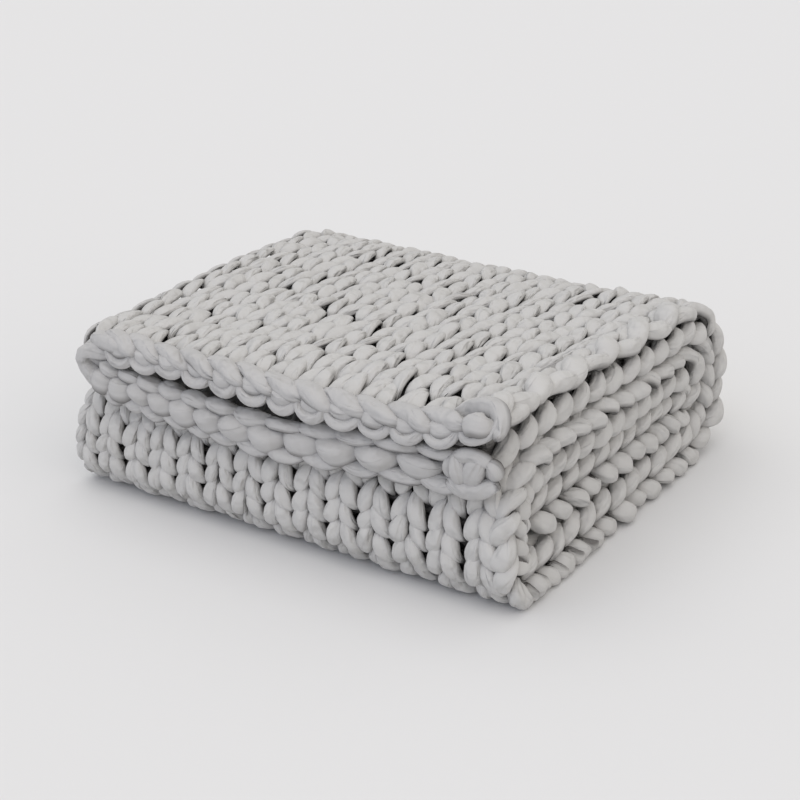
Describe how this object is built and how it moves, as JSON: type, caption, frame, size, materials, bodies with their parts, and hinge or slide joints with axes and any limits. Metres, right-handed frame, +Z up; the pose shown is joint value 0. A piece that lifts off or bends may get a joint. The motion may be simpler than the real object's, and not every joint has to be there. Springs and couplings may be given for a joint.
{
  "type": "folded knitted weighted blanket",
  "caption": "Chunky hand-knitted weighted blanket of thick tubular yarn, doubled lengthwise and folded over and over into a low stack that rests flat.",
  "frame": {"origin": "middle of the folded blanket's footprint, on the surface it rests on", "axes": "+X along the front edge, from the lengthwise fold to the selvedges; +Y from the front with the bound-off edge to the back; +Z up"},
  "size_m": [0.53, 0.5, 0.2071],
  "materials": {
    "knit": "matte tubular cotton jersey yarn, pale grey"
  },
  "bodies": {
    "root": {"blanket": "knit"}
  },
  "joints": []
}
